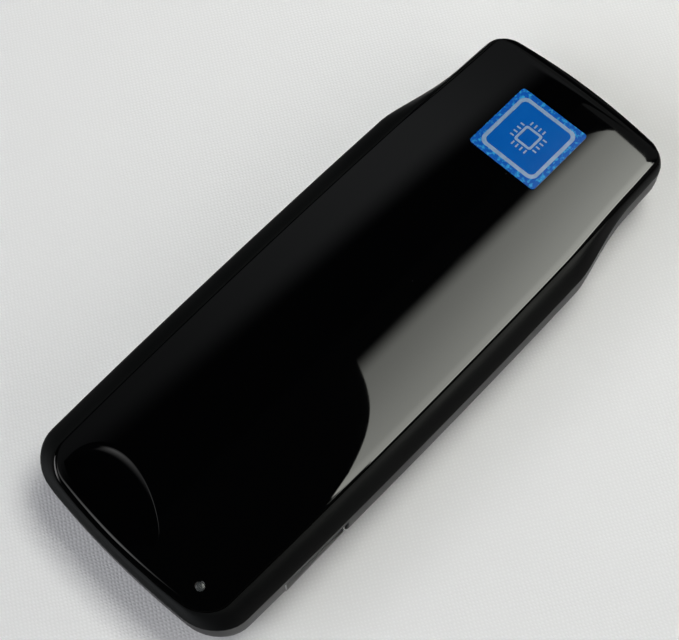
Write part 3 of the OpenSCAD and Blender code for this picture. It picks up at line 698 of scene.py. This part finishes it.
def panel_edges():
    """Loops of the panel's upper edge, from the outside in: the rounding, then the pillow."""
    loops = []
    for i in range(EDGE_N + 1):
        share = i / EDGE_N
        z = BODY_T - PILLOW_DROP - SIDE_DROP * (1 - share) ** SIDE_POWER
        near_z = BODY_T - NEAR_DROP * (1 - share) ** NEAR_POWER
        near_in = RIM_NEAR + NEAR_SHARE * NEAR_ROUND * share
        points = outline(SIDE_ROUND * share, near_in, RIM_FAR + SIDE_ROUND * share, 1.0)
        loops.append(edge_loop(points, z, near_z, 1.0))
    # One loop more than the pillow needs lies level inside it and keeps the shading of the flat area even
    for i in range(1, PILLOW_N + 2):
        share = i / PILLOW_N
        rest = max(0.0, 1 - share)
        z = BODY_T - PILLOW_DROP * rest ** PILLOW_POWER
        near_in = RIM_NEAR + NEAR_ROUND * (NEAR_SHARE + (1 - NEAR_SHARE) * share)
        far_in = RIM_FAR + SIDE_ROUND + (BAND_L - RIM_FAR - SIDE_ROUND) * share
        points = outline(SIDE_ROUND + PILLOW_W * share, near_in, far_in, 1.0)
        loops.append(edge_loop(points, z, BODY_T, rest ** BAND_POWER))
    return loops


def key_hole(bm):
    """Opening of the key, with a soft lip along the arc."""
    rings = []
    edge = key_outline(0.0)
    wide = key_outline(LIP_W)
    for i in range(-LIP_FLAT_N, LIP_N + 1):
        share = i / LIP_N
        loop = []
        for (x, y), (wide_x, wide_y) in zip(edge, wide):
            depth = dish_at(x, y)
            full = min(1.0, depth / (DISH_DEPTH * DISH_RIM))
            out = (1 - share) * (LIP_LEAST + full * (1 - LIP_LEAST))
            z = BODY_T - depth * max(0.0, share) ** LIP_POWER
            loop.append((x + (wide_x - x) * out, y + (wide_y - y) * out, z))
        rings.append(add_ring(bm, loop))
    rings.append(add_ring(bm, level(edge, Z_SKIRT)))
    add_wall(bm, rings)
    return rings


def light_hole(bm):
    """Opening of the status light with a tiny chamfer."""
    hole_r = LIGHT_R + LIGHT_GAP
    steps = ((hole_r + LIGHT_CHAMFER, BODY_T), (hole_r, BODY_T - LIGHT_CHAMFER), (hole_r, Z_SKIRT))
    rings = [add_ring(bm, level(circle(LIGHT_X, LIGHT_Y, r), z)) for r, z in steps]
    add_wall(bm, rings)
    return rings


def build_panel():
    """Panel with rounded edges, the sloped far band, the key opening and the light hole."""
    bm = bmesh.new()
    skirt = outline(SKIRT_INSET, SKIRT_INSET, SKIRT_INSET)
    flange = outline(0.0, RIM_NEAR, RIM_FAR, 1.0)
    loops = [level(skirt, Z_SKIRT), level(skirt, Z_FLANGE), level(flange, Z_FLANGE)] + panel_edges()
    rings = [add_ring(bm, loop) for loop in loops]
    add_wall(bm, rings)
    holes = [key_hole(bm), light_hole(bm)]
    add_cap(bm, rings[0], *[hole[-1] for hole in holes])
    add_cap(bm, rings[-1], *[hole[0] for hole in holes])
    piece = make_piece("panel_shell", bm, MATERIALS["gloss_black"], "case")
    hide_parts("top_panel")


def build_rim():
    """Near-black matte ring around the panel, widest along the neck; its darkness is painted shade for the
    gap between panel and frame.
    """
    bm = bmesh.new()
    outer = outline(0.0, 0.0, 0.0)
    inner = outline(RIM_FIT, RIM_NEAR - RIM_FIT, RIM_FAR - RIM_FIT, 1.0)
    top = BODY_T - PILLOW_DROP - SIDE_DROP - RIM_SINK
    near_top = BODY_T - NEAR_DROP - RIM_SINK
    loops = [level(outer, Z_FLANGE), edge_loop(outer, top - RIM_DROP, near_top, 1.0),
             edge_loop(inner, top, near_top, 1.0), level(inner, Z_FLANGE)]
    rings = [add_ring(bm, loop) for loop in loops]
    add_wall(bm, rings + rings[:1])
    piece = make_piece("panel_rim", bm, MATERIALS["seam_shade_black"], "case")
    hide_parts("top_panel")


# Power key

def key_ring(share):
    """Key outline drawn in toward the middle of the key."""
    return [(KEY_MIDDLE_X + share * (x - KEY_MIDDLE_X), KEY_MIDDLE_Y + share * (y - KEY_MIDDLE_Y))
            for x, y in key_outline(-KEY_GAP)]


def dish_ring(share):
    """Loop of the key's upper face."""
    return [(x, y, BODY_T - KEY_SINK - dish_at(x, y)) for x, y in key_ring(share)]


def build_key():
    """Dished key with its flange and post."""
    bm = bmesh.new()
    flange_low = KEY_FLANGE_TOP - KEY_FLANGE_T
    loops = [level(key_ring(1.0), flange_low + KEY_OVERLAP)]
    loops += [dish_ring(1 - i / DISH_N) for i in range(DISH_N)]
    add_solid(bm, loops)
    flange = key_outline(KEY_FLANGE_GROW)
    add_solid(bm, [level(flange, flange_low), level(flange, KEY_FLANGE_TOP)])
    key_low = box_mm("power_key")[0]
    post = [(KEY_POST_R, key_low.z), (KEY_POST_R, flange_low + KEY_OVERLAP)]
    add_rod(bm, KEY_MIDDLE_X, KEY_MIDDLE_Y, post)
    piece = make_piece("key_cap", bm, MATERIALS["gloss_black"], "key")
    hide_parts("power_key")


# Status light: base, collar under the panel, and the steps of its domed tip as share of the radius and depth
LIGHT_BASE_R = 0.9
LIGHT_COLLAR_T = 0.2
LIGHT_TIP = ((1.0, 0.1), (0.9, 0.05), (0.5, 0.0))


def build_light():
    """Stepped clear rod with a softly domed tip."""
    bm = bmesh.new()
    collar_r = (light_high.x - light_low.x) / 2
    collar_low = Z_SKIRT - LIGHT_COLLAR_T
    steps = [
        (LIGHT_BASE_R, light_low.z), (LIGHT_BASE_R, collar_low),
        (collar_r, collar_low), (collar_r, Z_SKIRT), (LIGHT_R, Z_SKIRT),
    ]
    steps += [(LIGHT_R * share, BODY_T - depth) for share, depth in LIGHT_TIP]
    add_rod(bm, LIGHT_X, LIGHT_Y, steps)
    piece = make_piece("light_rod", bm, MATERIALS["clear_plastic"], "case")
    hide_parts("light_pipe")


# Badge: its base, and the print on it with a border, a field inside that and a chip outline with pins
badge_low, badge_high = box_mm("badge_sticker")
BADGE_X = (badge_low.x + badge_high.x) / 2
BADGE_Y = (badge_low.y + badge_high.y) / 2
BADGE_SIDE = badge_high.x - badge_low.x
BADGE_R = 0.6
BADGE_SOFT = 0.05
BASE_TOP = badge_high.z - 0.05
PRINT_LOW = BASE_TOP - 0.02
PRINT_TOP = badge_high.z - 0.01
BORDER_SIDE = BADGE_SIDE - 2.1
BORDER_W = 0.7
BORDER_R = 1.5
BORDER_HOLE = BORDER_SIDE - 2 * BORDER_W
BORDER_HOLE_R = 1.0
FIELD_SIDE = BORDER_HOLE - 0.1
FIELD_R = 0.95
FIELD_TOP = PRINT_TOP - 0.015
CHIP_SIDE = 3.6
CHIP_R = 0.5
CHIP_HOLE = CHIP_SIDE - 0.9
CHIP_HOLE_R = 0.25
CHIP_LOW = PRINT_TOP - 0.03
PIN_N = 4
PIN_L = 0.8
PIN_W = 0.3
PIN_GAP = 0.25


def badge_ring(bm, side, r, z):
    """Loop of a layer of the badge."""
    return add_ring(bm, level(round_square(BADGE_X, BADGE_Y, side, r), z))


def badge_plate(name, side, r, low, high, material, hole_side=None, hole_r=0.0):
    """Flat printed layer of the badge with a softened edge."""
    bm = bmesh.new()
    soft = min(BADGE_SOFT, (high - low) / 2)
    steps = ((side, r, low), (side, r, high - soft), (side - 2 * soft, r - soft, high))
    rings = [badge_ring(bm, *step) for step in steps]
    add_wall(bm, rings)
    hole = []
    if hole_side is not None:
        hole = [badge_ring(bm, hole_side, hole_r, z) for z in (low, high)]
        add_wall(bm, hole)
    add_cap(bm, rings[0], *hole[:1])
    add_cap(bm, rings[-1], *hole[1:])
    return make_piece(name, bm, material, "case")


def build_badge():
    """Blue square with a silver border and a plain chip outline."""
    base = badge_plate("badge_base", BADGE_SIDE, BADGE_R, badge_low.z, BASE_TOP, MATERIALS["badge_blue"])
    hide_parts("badge_sticker")
    badge_plate("badge_border", BORDER_SIDE, BORDER_R, PRINT_LOW, PRINT_TOP, SILVER,
                BORDER_HOLE, BORDER_HOLE_R)
    badge_plate("badge_field", FIELD_SIDE, FIELD_R, PRINT_LOW, FIELD_TOP, FIELD)
    badge_plate("badge_chip", CHIP_SIDE, CHIP_R, CHIP_LOW, PRINT_TOP, SILVER, CHIP_HOLE, CHIP_HOLE_R)


def build_pins():
    """Short pins on all four sides of the chip outline."""
    bm = bmesh.new()
    reach = CHIP_SIDE / 2 + PIN_GAP + PIN_L / 2
    for i in range(PIN_N):
        step = (i - (PIN_N - 1) / 2) * CHIP_SIDE / PIN_N
        for side in (-1, 1):
            pins = ((side * reach, step, PIN_L, PIN_W), (step, side * reach, PIN_W, PIN_L))
            for dx, dy, length, width in pins:
                add_block(bm, BADGE_X + dx, BADGE_Y + dy, CHIP_LOW, PRINT_TOP, length, width)
    make_piece("badge_pins", bm, SILVER, "case")


build_panel()
build_rim()
build_key()
build_light()
build_badge()
build_pins()


# Floor and light

FLOOR_SIZE_M = 12.0
CURVE_N = 24
X_AXIS = (1.0, 0.0, 0.0)
Y_AXIS = (0.0, 1.0, 0.0)


def build_floor():
    """Wide pale cloth under the object."""
    bpy.ops.mesh.primitive_plane_add(size=FLOOR_SIZE_M, location=(0.0, 0.0, 0.0))
    floor = bpy.context.object
    floor.name = "floor"
    floor.data.materials.append(cloth())


def bezier(points):
    """Points along a curve from its two ends and two handles."""
    a, b, c, d = (Vector(p) for p in points)
    curve = []
    for i in range(CURVE_N + 1):
        t = i / CURVE_N
        s = 1 - t
        p = a * s ** 3 + b * (3 * t * s * s) + c * (3 * t * t * s) + d * t ** 3
        curve.append((p.x, p.y))
    return curve


# Cards of light in a level plane over the panel, which mirrors them: the height of that plane and the rims
# of the cards, in millimetres
CARD_RISE = 500.0
WINDOW_CURVE = ((136.0, 138.0), (126.7, 113.3), (116.2, 103.4), (88.1, 95.4))
WINDOW_SIDES = [
    (64.0, 58.0), (70.0, 44.0), (95.0, 10.0), (95.0, -195.0),
    (338.0, -195.0), (336.0, 30.0), (336.0, 75.0),
]
WINDOW_CORNER = [
    (337.2, 95.4), (338.6, 109.8), (339.7, 124.1), (337.0, 127.6),
    (332.5, 131.0), (326.5, 134.4), (318.0, 138.0),
]
WINDOW_RIM = bezier(WINDOW_CURVE) + WINDOW_SIDES + WINDOW_CORNER
VEIL_RIM = [(-57.0, 150.0), (640.0, 150.0), (640.0, 290.0), (-57.0, 290.0)]
SKY_RIM = [(-700.0, 300.0), (-260.0, 300.0), (-260.0, 700.0), (-700.0, 700.0)]
END_RIM = [
    (340.5, 149.5), (340.5, 124.1), (338.0, 95.4), (430.0, -60.0),
    (1200.0, -60.0), (1200.0, 400.0), (641.0, 400.0), (641.0, 149.5),
]
LAMP_RIM = [(-58.0, 90.0), (-58.0, 300.0), (-180.0, 300.0), (-180.0, 165.0), (-100.0, 90.0)]

# Ramps of each light's strength: direction, start and end along it in millimetres, and the values there.
# A light is as strong as the product of its ramps. The window's extra ramp is first added to its first one.
WINDOW_RAMPS = (
    (Y_AXIS, 136.0, 64.0, 2.55, 6.0),
    (Y_AXIS, 136.5, 124.5, 0.0, 1.0),
    (X_AXIS, 120.0, 345.0, 0.95, 1.3),
)
WINDOW_EXTRA = (Y_AXIS, 60.0, 0.0, 0.0, 1.6)
VEIL_RAMPS = (
    ((0.06, 1.0, 0.0), 194.0, 213.0, 0.0, 1.0),
    (X_AXIS, -10.0, 270.0, 0.09, 0.28),
    (X_AXIS, 262.0, 345.0, 1.0, 0.65),
)
SKY_RAMPS = ((Y_AXIS, 300.0, 460.0, 0.2, 3.4),)
END_RAMPS = ((X_AXIS, 334.0, 340.0, 0.0, 0.12),)
LAMP_RAMPS = (
    (X_AXIS, -58.0, -134.0, 0.0, 2.0),
    (Y_AXIS, 98.0, 160.0, 0.0, 1.0),
    (Y_AXIS, 160.0, 230.0, 1.0, 0.5),
)


class Glow:
    """An emission material whose strength is built from ramps over the card."""

    def __init__(self, name):
        self.material = bpy.data.materials.new(name)
        self.material.use_nodes = True
        self.nodes = self.material.node_tree.nodes
        self.links = self.material.node_tree.links
        self.nodes.clear()
        self.place = self.nodes.new("ShaderNodeTexCoord").outputs["Object"]
        self.light = self.nodes.new("ShaderNodeEmission")
        out = self.nodes.new("ShaderNodeOutputMaterial")
        self.links.new(self.light.outputs["Emission"], out.inputs["Surface"])

    def along(self, direction, low, high, start, end):
        """Ramp over the card along a direction, in millimetres."""
        return add_ramp(self.material.node_tree, self.place, direction, low * MM, high * MM, start, end)

    def join(self, operation, first, second):
        """Adds or multiplies two values."""
        node = self.nodes.new("ShaderNodeMath")
        node.operation = operation
        self.links.new(first, node.inputs[0])
        self.links.new(second, node.inputs[1])
        return node.outputs["Value"]

    def shine(self, value, color):
        """Material with this strength and colour."""
        self.links.new(value, self.light.inputs["Strength"])
        self.light.inputs["Color"].default_value = (*color, 1.0)
        return self.material


def add_card(name, rim, material):
    """Level card that gives light and shows in the gloss, but not to the camera."""
    bm = bmesh.new()
    add_cap(bm, add_ring(bm, level(rim, BODY_T + CARD_RISE)))
    for face in bm.faces:
        if face.normal.z > 0:
            face.normal_flip()
    mesh = bpy.data.meshes.new(name)
    bm.to_mesh(mesh)
    bm.free()
    mesh.materials.append(material)
    card = bpy.data.objects.new(name, mesh)
    bpy.context.scene.collection.objects.link(card)
    card.visible_camera = False


def add_light(name, rim, color, ramps, extra=None):
    """Card of light from its rim, its colour and its ramps."""
    glow = Glow(name + "_light")
    values = [glow.along(*ramp) for ramp in ramps]
    if extra is not None:
        values[0] = glow.join("ADD", values[0], glow.along(*extra))
    strength = values[0]
    for value in values[1:]:
        strength = glow.join("MULTIPLY", strength, value)
    add_card(name + "_card", rim, glow.shine(strength, color))


def build_lights():
    """Bright window with a notch, a dim veil on the left, a sky, a dim far end and a small lamp behind."""
    add_light("window", WINDOW_RIM, (0.985, 1.0, 0.92), WINDOW_RAMPS, WINDOW_EXTRA)
    add_light("veil", VEIL_RIM, (0.95, 0.98, 1.0), VEIL_RAMPS)
    add_light("sky", SKY_RIM, (1.0, 0.98, 1.0), SKY_RAMPS)
    add_light("end", END_RIM, (0.97, 1.0, 0.98), END_RAMPS)
    add_light("lamp", LAMP_RIM, (1.0, 1.0, 1.0), LAMP_RAMPS)


# World: pale walls on the near side and on the right, each with its direction, where along that it starts
# and is full, its light and its colour
WALLS = (
    ((-0.95, 0.31, 0.0), 0.55, 0.95, 2.9, (0.93, 0.97, 1.0)),
    ((0.31, -0.95, 0.0), 0.55, 0.95, 1.4, (1.0, 0.97, 0.93)),
)
ROOM_LIGHT = 0.005


def build_world():
    """Soft fill from two sides in a dark room."""
    world = bpy.data.worlds.new("studio")
    bpy.context.scene.world = world
    world.use_nodes = True
    nodes = world.node_tree.nodes
    links = world.node_tree.links
    nodes.clear()
    place = nodes.new("ShaderNodeTexCoord").outputs["Generated"]
    both = nodes.new("ShaderNodeAddShader")
    out = nodes.new("ShaderNodeOutputWorld")
    links.new(both.outputs["Shader"], out.inputs["Surface"])
    dark = ROOM_LIGHT / len(WALLS)
    for (direction, low, high, light, color), socket in zip(WALLS, both.inputs):
        background = nodes.new("ShaderNodeBackground")
        background.inputs["Color"].default_value = (*color, 1.0)
        wall = add_ramp(world.node_tree, place, direction, low, high, dark, light)
        links.new(wall, background.inputs["Strength"])
        links.new(background.outputs["Background"], socket)


# Camera, fitted to the panel's edges in the photograph, in degrees and millimetres
CAMERA_AZIMUTH = 226.108
CAMERA_ELEVATION = 66.456
CAMERA_ROLL = -2.782
CAMERA_DISTANCE = 226.03
CAMERA_TARGET = (-5.212, 1.056)
FOCAL_PX = 1420.0
IMAGE_WIDTH_PX = 679.0
SENSOR_MM = 36.0
CLIP_START_M = 0.01
CLIP_END_M = 50.0


def build_camera():
    """Camera that looks at a point of the panel's top from the photograph's direction."""
    azimuth = math.radians(CAMERA_AZIMUTH)
    elevation = math.radians(CAMERA_ELEVATION)
    roll = math.radians(CAMERA_ROLL)
    back = Vector((math.cos(elevation) * math.cos(azimuth), math.cos(elevation) * math.sin(azimuth),
                   math.sin(elevation)))
    right = Vector((0.0, 0.0, 1.0)).cross(back).normalized()
    up = back.cross(right)
    side = right * math.cos(roll) + up * math.sin(roll)
    top = up * math.cos(roll) - right * math.sin(roll)
    spot = (Vector((*CAMERA_TARGET, BODY_T)) + back * CAMERA_DISTANCE) * MM
    data = bpy.data.cameras.new("camera")
    data.sensor_width = SENSOR_MM
    data.lens = FOCAL_PX / IMAGE_WIDTH_PX * SENSOR_MM
    data.clip_start = CLIP_START_M
    data.clip_end = CLIP_END_M
    camera = bpy.data.objects.new("camera", data)
    bpy.context.scene.collection.objects.link(camera)
    axes = Matrix((side, top, back)).transposed().to_4x4()
    camera.matrix_world = Matrix.Translation(spot) @ axes
    bpy.context.scene.camera = camera


build_floor()
build_lights()
build_world()
build_camera()
bpy.context.scene.view_settings.view_transform = "Standard"
